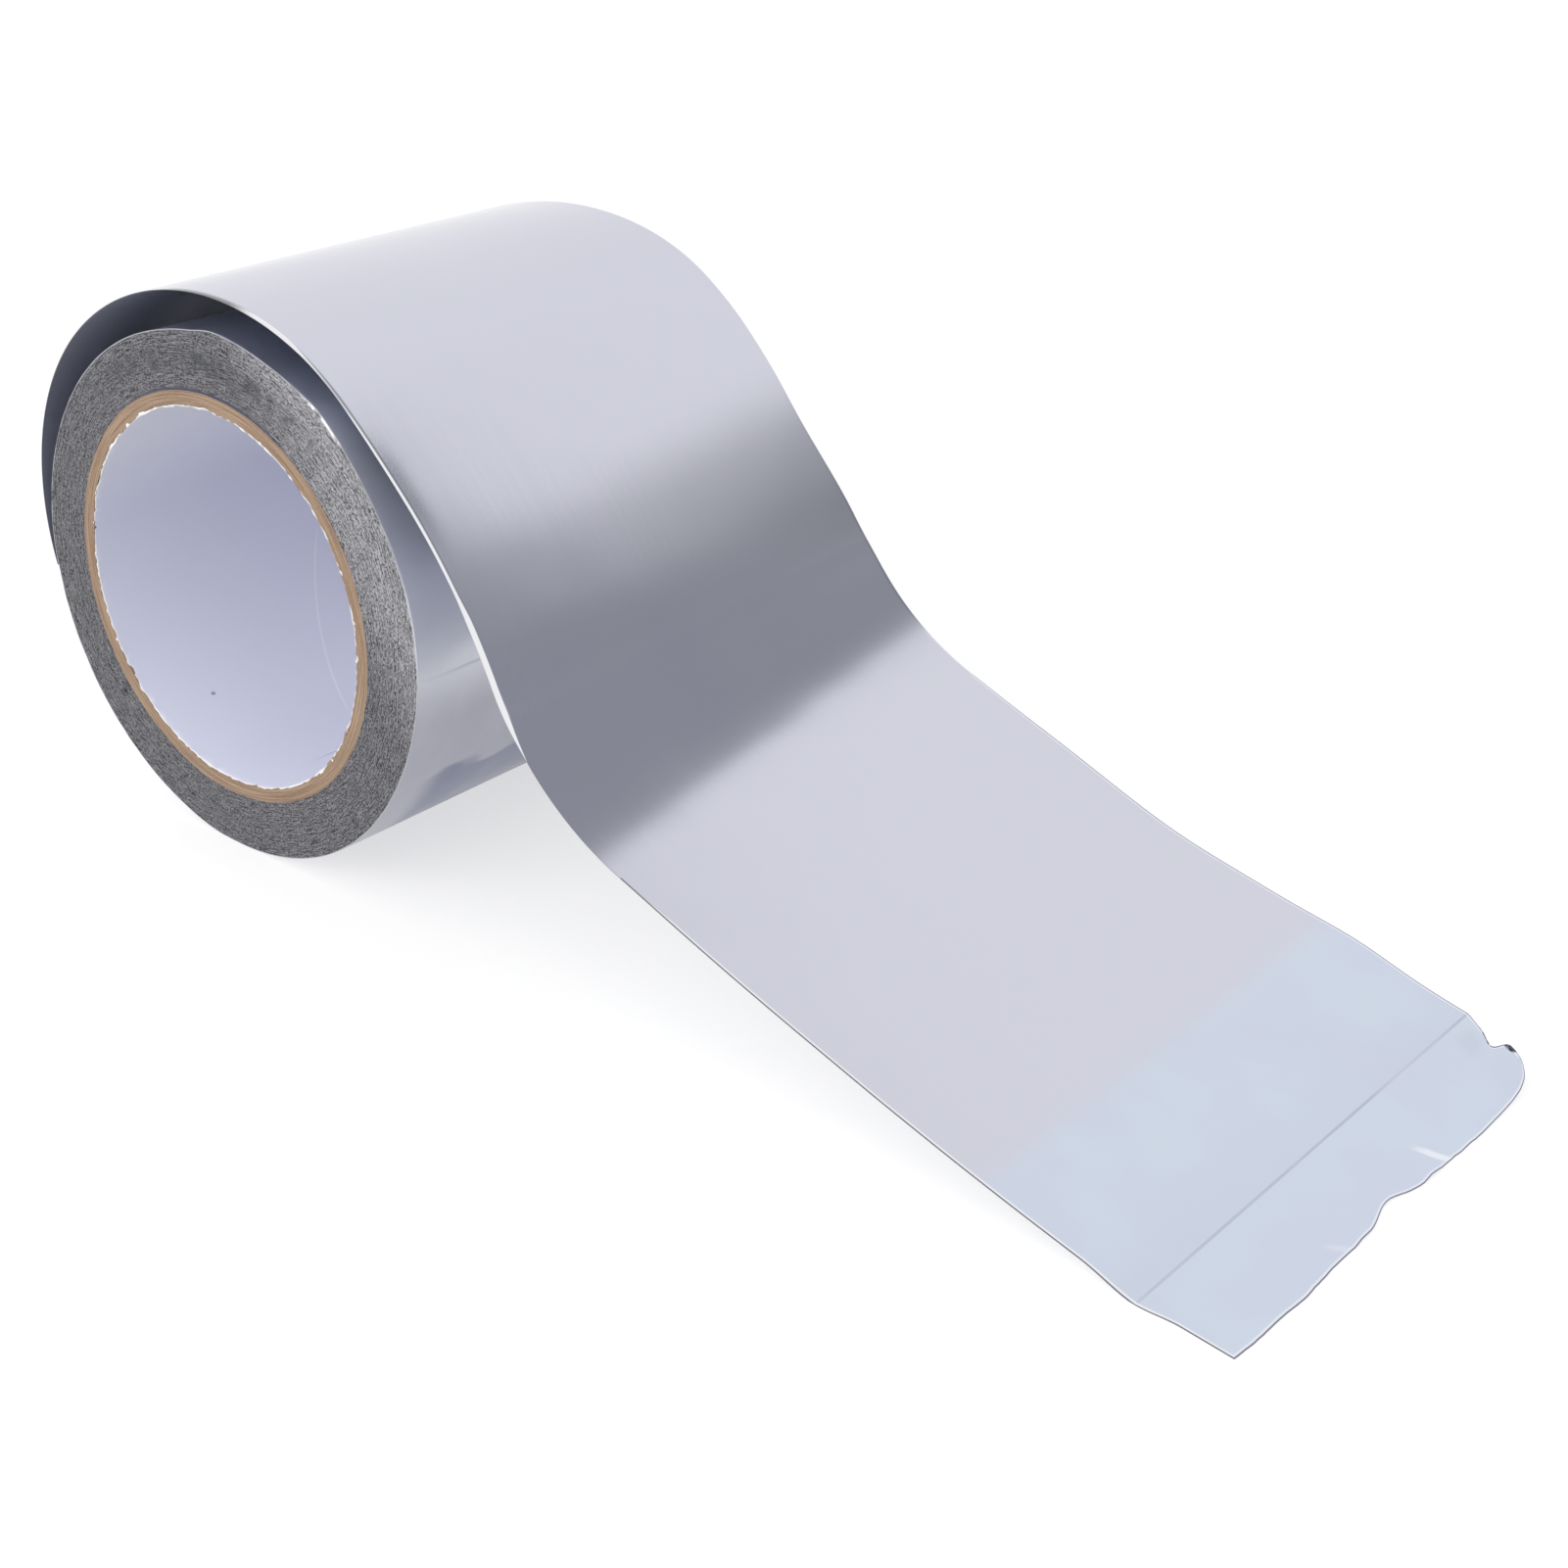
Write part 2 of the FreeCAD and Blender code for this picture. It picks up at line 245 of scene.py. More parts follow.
def new_object(name, points, faces, materials, kinds=None, places=None):
    """A mesh object from points in mm.

    kinds gives the number of each face's material.  places gives three numbers for each point, which the
    materials read as the attribute "place".
    """
    mesh = bpy.data.meshes.new(name)
    mesh.from_pydata((points.reshape(-1, 3) * MM).tolist(), [], faces)
    for material in materials:
        mesh.materials.append(material)
    if kinds is not None:
        mesh.polygons.foreach_set("material_index", np.asarray(kinds, np.int32))
    if places is not None:
        layer = mesh.attributes.new("place", "FLOAT_VECTOR", "POINT")
        layer.data.foreach_set("vector", np.asarray(places, np.float32).ravel())
    mesh.polygons.foreach_set("use_smooth", [True] * len(mesh.polygons))
    mesh.set_sharp_from_angle(angle=math.radians(SHARP_ANGLE))
    mesh.validate()
    mesh.update()
    made = bpy.data.objects.new(name, mesh)
    bpy.context.scene.collection.objects.link(made)
    return made


# ------------------------------------------------------------------ nodes
class Nodes:
    """Short names for building a tree of nodes; a colour is written as three numbers."""

    def __init__(self, tree):
        self.tree = tree

    def node(self, kind, **inputs):
        made = self.tree.nodes.new(kind)
        for name, value in inputs.items():
            self.put(made, name.replace("_", " "), value)
        return made

    def put(self, node, name, value):
        if isinstance(value, bpy.types.NodeSocket):
            self.tree.links.new(value, node.inputs[name])
        else:
            node.inputs[name].default_value = value

    def noise(self, vector, scale, detail, roughness=0.5):
        """Noise with so many cells for each unit of the vector, along each of its three parts."""
        scaled = self.node("ShaderNodeMapping", Vector=vector, Scale=scale).outputs["Vector"]
        made = self.node("ShaderNodeTexNoise", Vector=scaled, Scale=1.0, Detail=detail, Roughness=roughness)
        return made.outputs["Fac"]

    def math(self, kind, a, b=0.0, c=0.0):
        made = self.tree.nodes.new("ShaderNodeMath")
        made.operation = kind
        for index, value in enumerate((a, b, c)):
            self.put(made, index, value)
        return made.outputs[0]

    def times(self, product, *factors):
        for factor in factors:
            product = self.math("MULTIPLY", product, factor)
        return product

    def between(self, value, low, high, to_low=0.0, to_high=1.0):
        """Smooth step from to_low at low to to_high at high."""
        made = self.node(
            "ShaderNodeMapRange", Value=value, From_Min=low, From_Max=high, To_Min=to_low, To_Max=to_high)
        made.interpolation_type = "SMOOTHSTEP"
        return made.outputs[0]

    def close(self, value, centre, inner, outer):
        """1 within inner of centre, falling to 0 at outer from it."""
        away = self.math("ABSOLUTE", self.math("SUBTRACT", value, centre))
        return self.between(away, outer, inner)

    def mix(self, factor, a, b):
        """Colour a where the factor is 0, colour b where it is 1."""
        made = self.tree.nodes.new("ShaderNodeMix")
        made.data_type = "RGBA"
        self.put(made, 0, factor)
        for index, value in ((6, a), (7, b)):
            self.put(made, index, (*value, 1.0) if isinstance(value, tuple) else value)
        return made.outputs[2]

    def vector_math(self, kind, a, b):
        made = self.tree.nodes.new("ShaderNodeVectorMath")
        made.operation = kind
        self.put(made, 0, a)
        self.put(made, 1, b)
        return made.outputs["Value"]

    def axes(self, vector):
        return self.node("ShaderNodeSeparateXYZ", Vector=vector).outputs

    def bump(self, height, strength, distance):
        return self.node("ShaderNodeBump", Height=height, Strength=strength, Distance=distance).outputs[0]


class MaterialNodes(Nodes):
    """The nodes of a new material with one Principled shader."""

    def __init__(self, name, metallic=0.0, roughness=0.5, specular=0.5):
        self.material = bpy.data.materials.new(name)
        self.material.use_nodes = True
        super().__init__(self.material.node_tree)
        self.shader = self.tree.nodes["Principled BSDF"]
        self.put(self.shader, "Metallic", metallic)
        self.put(self.shader, "Roughness", roughness)
        self.put(self.shader, "Specular IOR Level", specular)

    def place(self):
        """Where the point is on its own surface, in mm: the attribute "place"."""
        made = self.node("ShaderNodeAttribute")
        made.attribute_name = "place"
        return made.outputs["Vector"]

    def position(self):
        """Where the point is in the frame, in metres."""
        return self.node("ShaderNodeTexCoord").outputs["Object"]

    def finish(self, colour, roughness=None, normal=None):
        for name, value in (("Base Color", colour), ("Roughness", roughness), ("Normal", normal)):
            if value is not None:
                self.put(self.shader, name, value)
        return self.material


# ------------------------------------------------------------------ materials
def foil_material(curl):
    """Bright satin side of the tape, with its crease, rolled lip, a light scuff, and painted light and shade over
    it.

    Its place is (distance along the tape, distance from the front edge, width of the rolled lip).  curl is
    the middle of the corner's curled rim, in metres, which gets a painted dark reflection.
    """
    n = MaterialNodes("foil_bright", metallic=1.0)
    place = n.place()
    along, width, lip = n.axes(place)
    streaks = n.noise(place, (0.004, 1.6, 0.0), 3.0)
    cloud = n.noise(place, (0.02, 0.03, 0.0), 2.0)
    patches = n.noise(place, (0.05, 0.05, 0.0), 2.0)
    grain = n.noise(place, (2.2, 2.8, 0.0), 3.0, 0.7)

    # The foil, with a painted bluish reflection towards its torn end.
    blue_from, blue_to = 317.0, 325.0
    plain = n.mix(cloud, (0.625, 0.632, 0.712), (0.645, 0.652, 0.732))
    bluer = n.mix(n.between(patches, 0.35, 0.65), (0.612, 0.657, 0.778), (0.618, 0.684, 0.786))
    colour = n.mix(n.between(along, blue_from, blue_to), plain, bluer)

    # By the front edge: grainy painted shade where the dent mirrors dark, and a light scuff.
    painted_dent_shade_at, scuff_at = 152.0, 193.0
    painted_dent_shade = n.times(n.between(width, 5.0, 0.5), n.close(along, painted_dent_shade_at, 3.0, 14.0))
    colour = n.mix(n.times(painted_dent_shade, n.between(grain, 0.3, 0.7, 0.15, 0.60)), colour, (0.30, 0.31, 0.35))
    scuff = n.times(n.close(width, 6.0, 2.0, 6.0), n.close(along, scuff_at, 6.0, 16.0))
    colour = n.mix(n.times(scuff, n.between(grain, 0.55, 0.72, 0.0, 0.35)), colour, (0.95, 0.95, 1.0))

    # The crease: a darker strip before it, a thin broken line of painted shade, and painted shade behind its back
    # end.
    before = n.times(n.between(along, CREASE - 14, CREASE), n.math("LESS_THAN", along, CREASE))
    colour = n.mix(n.times(before, 0.4), colour, (0.57, 0.61, 0.72))
    line = n.times(n.close(along, CREASE, 0.10, 0.42), n.between(patches, 0.3, 0.7, 0.35, 0.9))
    colour = n.mix(line, colour, (0.47, 0.50, 0.60))
    patch = n.times(n.close(along, CREASE + 4.0, 0.5, 3.5), n.close(width, 95.5, 1.0, 4.0))
    colour = n.mix(n.times(patch, 0.5), colour, (0.555, 0.585, 0.675))

    # Painted highlights of the pleats, light lines that run slanting over the flap: (where they reach the torn
    # edge, start, strength).
    slant = 0.8
    slanted = n.math("MULTIPLY_ADD", along, -slant, width)
    for at, start, strength in ((67.5, 9.5, 0.75), (33.5, 11.5, 0.25)):
        on_pleat_highlight = n.close(slanted, at - slant * (CREASE + 13), 0.4, 1.4)
        painted_pleat_highlight = n.times(on_pleat_highlight, n.between(along, CREASE + start, CREASE + start + 3.0), strength)
        colour = n.mix(painted_pleat_highlight, colour, (0.88, 0.89, 0.94))

    # A painted highlight on the rolled lip, and painted shade on a stretch of the front edge at the top of the
    # roll.
    painted_lip_shade_at = 98.0
    rolled = n.between(n.math("SUBTRACT", width, lip), 0.04, -0.10)
    colour = n.mix(rolled, colour, (0.86, 0.86, 0.89))
    painted_lip_shade = n.times(n.between(width, 1.6, 0.1), n.close(along, painted_lip_shade_at, 6.0, 13.0), 0.8)
    colour = n.mix(painted_lip_shade, colour, (0.10, 0.11, 0.12))

    # The tail: a painted highlight inside its torn and back edges, and an outline of painted shade.
    tail_from = 235.0
    on_tail = n.math("GREATER_THAN", along, tail_from)
    to_torn_edge = n.math("SUBTRACT", CREASE + FLAP_MARKS_SPAN, along)
    to_edge = n.math("MINIMUM", to_torn_edge, n.math("SUBTRACT", TAPE_WIDTH, width))
    colour = n.mix(n.times(n.between(to_edge, 0.70, 0.50), on_tail, 0.7), colour, (0.84, 0.85, 0.95))
    to_edge = n.math("MINIMUM", to_edge, width)
    colour = n.mix(n.times(n.between(to_edge, 0.26, 0.14), on_tail, 0.85), colour, (0.09, 0.10, 0.13))

    # The curled rim: a painted dark reflection.
    curled = n.between(n.vector_math("DISTANCE", n.position(), curl), 0.0014, 0.0010)
    colour = n.mix(n.times(curled, n.between(grain, 0.50, 0.62, 1.0, 0.3)), colour, (0.03, 0.03, 0.04))

    roughness = n.math("ADD", n.between(streaks, 0.3, 0.7, 0.135, 0.155), n.between(cloud, 0.3, 0.7, -0.01, 0.01))
    return n.finish(colour, roughness, n.bump(grain, 0.02, 0.0001))


def adhesive_material():
    """Underside of the tape, adhesive over foil: dark slate of painted shade where it peels off, lighter with
    painted light over the roll.
    """
    n = MaterialNodes("adhesive_dark", metallic=0.45)
    place = n.place()
    along, width = n.axes(place)[:2]
    cloud = n.noise(place, (0.03, 0.05, 0.0), 3.0)
    speck = n.noise(place, (0.6, 0.6, 0.0), 2.0)
    colour = n.mix(n.between(cloud, 0.3, 0.7), (0.46, 0.49, 0.59), (0.51, 0.54, 0.64))
    # Painted shade: darker where it peels off.
    colour = n.mix(n.between(along, 75.0, 30.0, 0.0, 0.8), colour, (0.24, 0.255, 0.33))

    # Painted light: a light place deep in the gap, and the lighter ramp.
    deep = n.times(n.between(width, 15.0, 30.0), n.close(along, 54.0, 7.0, 13.0))
    colour = n.mix(deep, colour, (0.90, 0.91, 0.95))
    colour = n.mix(n.between(along, 112.0, 135.0), colour, (0.78, 0.80, 0.88))
    return n.finish(colour, n.between(speck, 0.3, 0.7, 0.44, 0.52), n.bump(speck, 0.03, 0.0001))


def wound_skin_material():
    """Outside of the wound turns: the same foil, a little wavy where the loose turn was pulled off, with painted
    shade low down and painted light higher up.
    """
    n = MaterialNodes("foil_wound", metallic=1.0)
    place = n.place()
    cloud = n.noise(place, (0.05, 0.07, 1.0), 3.0)
    wave = n.noise(place, (0.10, 0.05, 1.0), 2.0)
    x, y, height = n.axes(n.position())

    # Painted shade low down and painted light higher up: lighter in two steps on the way up.
    colour = n.mix(n.between(cloud, 0.35, 0.65), (0.41, 0.415, 0.47), (0.45, 0.455, 0.51))
    colour = n.mix(n.between(height, -0.012, 0.010), colour, (0.86, 0.87, 0.93))
    colour = n.mix(n.between(height, 0.036, 0.046), colour, (0.84, 0.87, 0.97))

    # Painted reflection of the shadow: dark with a wavy border low down under the ramp.
    wavy = n.math("MULTIPLY_ADD", wave, 0.016, n.math("ADD", height, -0.008))
    low = n.times(n.between(wavy, -0.0245, -0.0270), n.between(y, -0.044, -0.036))
    colour = n.mix(n.times(low, n.math("GREATER_THAN", x, 0.0)), colour, (0.225, 0.24, 0.335))

    # Behind, as bright and as smooth as the loose turn.
    behind = n.times(n.between(x, 0.0, -0.030), n.between(height, 0.020, 0.0))
    colour = n.mix(behind, colour, (0.635, 0.642, 0.722))
    roughness = n.times(n.between(cloud, 0.3, 0.7, 0.28, 0.34), n.math("MULTIPLY_ADD", behind, -0.5, 1.0))
    return n.finish(colour, roughness, n.bump(wave, 0.3, 0.0006))


def cut_edge_material():
    """The slit edge of the free tape, painted dark as shade."""
    n = MaterialNodes("foil_cut_edge", metallic=0.9)
    fine = n.noise(n.place(), (2.0, 2.0, 1.0), 2.0)
    return n.finish(n.mix(fine, (0.10, 0.10, 0.11), (0.34, 0.34, 0.36)), n.between(fine, 0.3, 0.7, 0.25, 0.4))


def wound_edge_material():
    """Edges of the wound turns: fine rings of foil and adhesive, speckled and a little smudged, with painted
    light.

    Their place is (distance round, distance out from the board, distance in from the outside).
    """
    n = MaterialNodes("wound_edges", metallic=0.35)
    place = n.place()
    turns, depth = n.axes(place)[1:3]
    x, y, z = n.axes(n.position())
    rings = n.noise(place, (0.30, 5.0, 0.0), 3.0, 0.7)
    bands = n.noise(place, (0.03, 1.3, 0.0), 2.0)
    speckle = n.noise(place, (1.7, 3.4, 0.0), 3.0, 0.8)
    smudge = n.noise(place, (0.40, 0.22, 0.0), 2.0)
    tone = n.math("ADD", n.times(rings, 0.42), n.times(speckle, 0.58))
    colour = n.mix(n.between(tone, 0.45, 0.56), (0.006, 0.007, 0.010), (0.27, 0.265, 0.285))

    # Painted light: lighter towards the upper right.
    towards = n.math("MULTIPLY_ADD", x, 0.82, n.times(z, 0.57))
    lit = n.mix(n.between(tone, 0.44, 0.55), (0.045, 0.045, 0.055), (0.57, 0.56, 0.59))
    colour = n.mix(n.between(towards, 0.030, 0.048, 0.0, 0.8), colour, lit)
    colour = n.mix(n.between(bands, 0.35, 0.75, 0.0, 0.25), colour, (0.10, 0.105, 0.12))

    # At the top, dark smudges halfway out and a navy arc by the board.
    top = n.between(z, 0.030, 0.044)
    smudged = n.times(top, n.close(turns, 6.0, 1.0, 3.0), n.between(smudge, 0.45, 0.62, 0.15, 0.6))
    colour = n.mix(smudged, colour, (0.030, 0.033, 0.045))
    colour = n.mix(n.times(top, n.between(turns, 0.75, 0.35)), colour, (0.045, 0.05, 0.095))

    # A painted highlight on the outermost turn, and a painted glint on it at the front.
    glint_at = 0.0315
    colour = n.mix(n.between(depth, 0.22, 0.12), colour, (0.50, 0.50, 0.54))
    upper_front = n.times(n.math("GREATER_THAN", z, 0.030), n.math("LESS_THAN", y, 0.0))
    glint = n.times(n.close(x, glint_at, 0.003, 0.0065), upper_front, n.between(depth, 0.75, 0.45))
    colour = n.mix(n.times(glint, n.between(smudge, 0.40, 0.55)), colour, (0.95, 0.95, 0.97))
    return n.finish(colour, n.between(speckle, 0.3, 0.7, 0.38, 0.55), n.bump(tone, 0.6, 0.0002))


def board_material():
    """Cut ends and outside of the brown board: thin plies with short fibres.

    Its place is (distance round, distance out from the paper ply, 0).
    """
    n = MaterialNodes("core_board", roughness=0.8, specular=0.2)
    place = n.place()
    plies = n.noise(place, (0.06, 3.4, 1.0), 2.0)
    fibres = n.noise(place, (1.2, 5.5, 1.0), 4.0, 0.7)
    colour = n.mix(n.between(plies, 0.35, 0.65), (0.26, 0.175, 0.118), (0.42, 0.30, 0.212))
    colour = n.mix(n.between(fibres, 0.45, 0.75, 0.0, 0.6), colour, (0.54, 0.41, 0.30))
    return n.finish(colour, n.between(fibres, 0.3, 0.7, 0.72, 0.88), n.bump(fibres, 0.5, 0.0003))


def paper_material():
    """White paper ply of the bore: cool, smooth, and made lighter at the top with painted light."""
    n = MaterialNodes("liner_paper", roughness=0.6, specular=0.25)
    position = n.position()
    x, y, z = n.axes(position)
    cloud = n.noise(position, (25.0, 18.0, 25.0), 3.0)
    fibre = n.noise(position, (900.0, 500.0, 900.0), 3.0)
    colour = n.mix(cloud, (0.69, 0.70, 0.82), (0.74, 0.75, 0.88))
    # Painted light: lighter at the top.
    colour = n.mix(n.between(z, 0.004, 0.032), colour, (0.94, 0.95, 1.0))

    # A stretch of the seam that the ply winds round with, and a brown speck, placed in metres and radians.
    pitch, seam_y, seam_angle = 0.0179, -0.04425, -2.30
    speck_y, speck_angle = -0.036, -2.182
    around = n.math("ARCTAN2", z, x)
    seam = n.close(n.math("MULTIPLY_ADD", around, pitch, y), seam_y, 0.00012, 0.0004)
    colour = n.mix(n.times(seam, n.close(around, seam_angle, 0.45, 0.65), 0.35), colour, (0.95, 0.95, 1.0))
    speck = n.times(n.close(y, speck_y, 0.0002, 0.0007), n.close(around, speck_angle, 0.004, 0.014), 0.8)
    colour = n.mix(speck, colour, (0.22, 0.16, 0.12))
    return n.finish(colour, n.between(fibre, 0.3, 0.7, 0.5, 0.7), n.bump(fibre, 0.15, 0.0001))


def torn_paper_material():
    """Torn white fibres along the rim of the paper ply."""
    n = MaterialNodes("torn_paper", roughness=0.9, specular=0.1)
    fibre = n.noise(n.position(), (1500.0, 1500.0, 1500.0), 3.0)
    return n.finish(n.mix(fibre, (0.78, 0.76, 0.76), (0.96, 0.96, 0.98)), None, n.bump(fibre, 0.4, 0.0002))


# ------------------------------------------------------------------ the free tape
def heading(distance):
    """Direction of the loose turn in the side view, in radians from +X."""
    angle = PEEL_PLACE - 90 + PEEL_ANGLE
    start = 0.0
    for length, turn in LOOSE_TURN:
        angle = angle + turn * np.clip(distance - start, 0.0, length) / length
        start += length
    return np.radians(angle)


def across(distance):
    """Unit vectors from the tape's front edge to its back edge."""
    leaning = [sum_of_steps(LEAN_X, distance), np.ones_like(distance), sum_of_steps(LEAN_Z, distance)]
    return unit(np.stack(leaning, -1))


def forward(distance):
    """Unit vectors along the tape's front edge, square to the lines across."""
    angle = heading(distance)
    line = across(distance)
    run = np.stack([np.cos(angle), np.zeros_like(angle), np.sin(angle)], -1)
    run[..., 1] = -(run[..., 0] * line[..., 0] + run[..., 2] * line[..., 2]) / line[..., 1]
    return unit(run)


def loose_path(steps):
    """Distances, front-edge points, lines across and outward normals at even steps along the loose turn."""
    fine = 4
    step = CREASE / (steps * fine)
    place = math.radians(PEEL_PLACE)
    start = np.array([
        PACK_SHIFT[0] + PACK_RADIUS * math.cos(place),
        -HALF_WIDTH,
        PACK_SHIFT[1] + PACK_RADIUS * math.sin(place),
    ])
    run = np.cumsum(forward((np.arange(steps * fine) + 0.5) * step) * step, axis=0)
    points = np.vstack([start, start + run])[::fine]
    distance = np.arange(steps + 1) * step * fine
    line = across(distance)
    return distance, points, line, unit(np.cross(forward(distance), line))


def flap_surface(front, back, a, b):
    """Points of the flap's upper side at the shares a of its length and b of the tape's width."""
    start = front + (back - front) * b[..., None]
    line = unit(np.array([back[0] - front[0], back[1] - front[1], 0.0]))
    away = np.cross(line, [0.0, 0.0, 1.0])

    # Length up to the torn edge, with its bites, round corner and teeth.
    length = FLAP_FRONT_LENGTH + (FLAP_BACK_LENGTH - FLAP_FRONT_LENGTH) * b
    for at, wide, depth in BITES:
        length = length - depth * bell(b, at, wide)
    past_corner = np.clip(b * TAPE_WIDTH - (TAPE_WIDTH - CORNER_ROUND), 0.0, CORNER_ROUND)
    length = length - (CORNER_ROUND - np.sqrt(CORNER_ROUND ** 2 - past_corner ** 2))
    for height, number, row, seed in TEETH:
        length = length + height * value_noise(b * number, row, seed)
    distance = a * length

    # The corner, rolled up along a diagonal.
    turn = math.radians(CURL_HEADING)
    from_corner = (FLAP_BACK_LENGTH - distance) * math.cos(turn) + (1 - b) * TAPE_WIDTH * math.sin(turn)
    past = np.maximum(CURL_REACH - from_corner, 0.0)
    diagonal = away * math.cos(turn) + line * math.sin(turn)
    rolled = past / CURL_RADIUS
    shift = CURL_RADIUS * np.sin(rolled) - past
    point = start + away * distance[..., None] + diagonal * shift[..., None]

    # Heights: down to the surface, with pleats, the lifted corner and the curl.
    pleats = sum(height * bell(b, at, wide) for at, wide, height in PLEATS) * a * a
    lift = CORNER_LIFT * smooth(distance, *LIFT_ALONG) * smooth(b, *LIFT_ACROSS)
    drop = start[..., 2] - (SURFACE_Z + THICKNESS)
    bending = np.clip(distance - FLAP_REACH + FLAP_BEND, 0.0, 2 * FLAP_BEND)
    settled = (np.minimum(distance, FLAP_REACH + FLAP_BEND) - bending ** 2 / (4 * FLAP_BEND)) / FLAP_REACH
    point[..., 2] = start[..., 2] - drop * settled
    point[..., 2] += pleats + lift + CURL_RADIUS * (1 - np.cos(rolled))
    return point


def grid_normals(points):
    along = np.gradient(points, axis=0)
    sideways = np.gradient(points, axis=1)
    return unit(np.cross(along, sideways))


def width_shares():
    """Columns across the tape, closer together at its cut edges and over the curled corner."""
    edge = [0.0, 0.12, 0.28, 0.45, 0.65, 0.9, 1.2, 1.6, 2.1]
    middle = list(np.arange(3.0, 92.0, 1.2))
    corner = list(np.linspace(92.4, TAPE_WIDTH - CORNER_ROUND, 12)[:-1])
    far = list(TAPE_WIDTH - CORNER_ROUND * (1 - np.sin(np.linspace(0, math.pi / 2, 25))))
    return np.array(edge + middle + corner + far) / TAPE_WIDTH


def lip_width(distance):
    """Width of the front edge that is rolled over."""
    return LIP_START + sum_of_steps(LIP_STEPS, distance)


def relief(distance, width):
    """Small rises and falls of the free foil from handling: waves, a dent and the rolled slit edges."""
    amount = 0.0
    for height, long, wide, seed in WAVES:
        amount = amount + height * value_noise(distance / long, width / wide, seed) * smooth(distance, 10, 60)
    for at, spread, height in BACK_WAVES:
        amount = amount + height * smooth(width, 45, TAPE_WIDTH) * bell(distance, at, spread)
    amount = amount - DENT_DEPTH * plateau(distance, DENT_RISE, DENT_FALL) * bell(width, 0.0, 2.5)

    bent = np.maximum(lip_width(distance) - width, 0.0)
    slope = LIP_SLOPE + LIP_STEEPER * smooth(distance, 130, 160)
    amount = amount - slope * bent * bent / (bent + 0.15) * (1 - smooth(distance, 205, 212))
    back_lip = np.maximum(1 - (TAPE_WIDTH - width) / BACK_LIP_WIDTH, 0.0) ** 2
    return amount - BACK_LIP_DEPTH * back_lip * (1 - smooth(distance, 232, 258))


def nick(width):
    """How far the front edge is drawn in at the crease."""
    return NICK_DEPTH * np.maximum(1 - width / NICK_SPAN, 0.0) ** 2


def mirror_change(distance, s, w, line, outward):
    """Change of the bright side's normals, so that it mirrors as foil that bends along slanting lines does."""
    ahead = forward(distance)[:, None] + np.gradient(line, distance, axis=0)[:, None] * w[..., None]
    plain = unit(np.cross(ahead, line[:, None]))
    shift, rise, fall = UPPER_SHIFT
    shifted = s - shift * plateau(s, rise, fall)
    shift, rise, fall = LOWER_SHIFT
    shifted = shifted - shift * smooth(w, *LOWER_SHIFT_ACROSS) * plateau(s, rise, fall)
    even = np.stack([np.interp(shifted, distance, outward[:, axis]) for axis in range(3)], -1)
    share, rise, fall = MIRROR_CHANGE
    return (even - plain) * (share * plateau(s, rise, fall))[..., None]


def turn_normals(made, faces, change):
    """Add a change, given for each vertex, to the corner normals of an object's first faces, all quads."""
    mesh = made.data
    corners = faces * 4
    normals = np.empty(len(mesh.loops) * 3, np.float32)
    mesh.corner_normals.foreach_get("vector", normals)
    vertices = np.empty(len(mesh.loops), np.int32)
    mesh.loops.foreach_get("vertex_index", vertices)
    normals = normals.reshape(-1, 3)
    normals[:corners] = unit(normals[:corners] + change[vertices[:corners]])
    mesh.normals_split_custom_set(normals.tolist())


def strip_faces(rows, columns):
    """Faces of a strip made of an upper grid of points and a lower one; and 0, 1, 2 for above, below, edge."""
    count = rows * columns
    above = grid_faces(rows, columns)
    below = grid_faces(rows, columns, start=count, flip=True)
    border = [i * columns for i in range(rows)]
    border += [(rows - 1) * columns + j for j in range(1, columns)]
    border += [i * columns + columns - 1 for i in range(rows - 2, -1, -1)]
    border += list(range(columns - 2, 0, -1))
    edges = [
        [here, here + count, there + count, there]
        for here, there in zip(border, border[1:] + border[:1])
    ]
    return above + below + edges, [0] * len(above) + [1] * len(below) + [2] * len(edges)


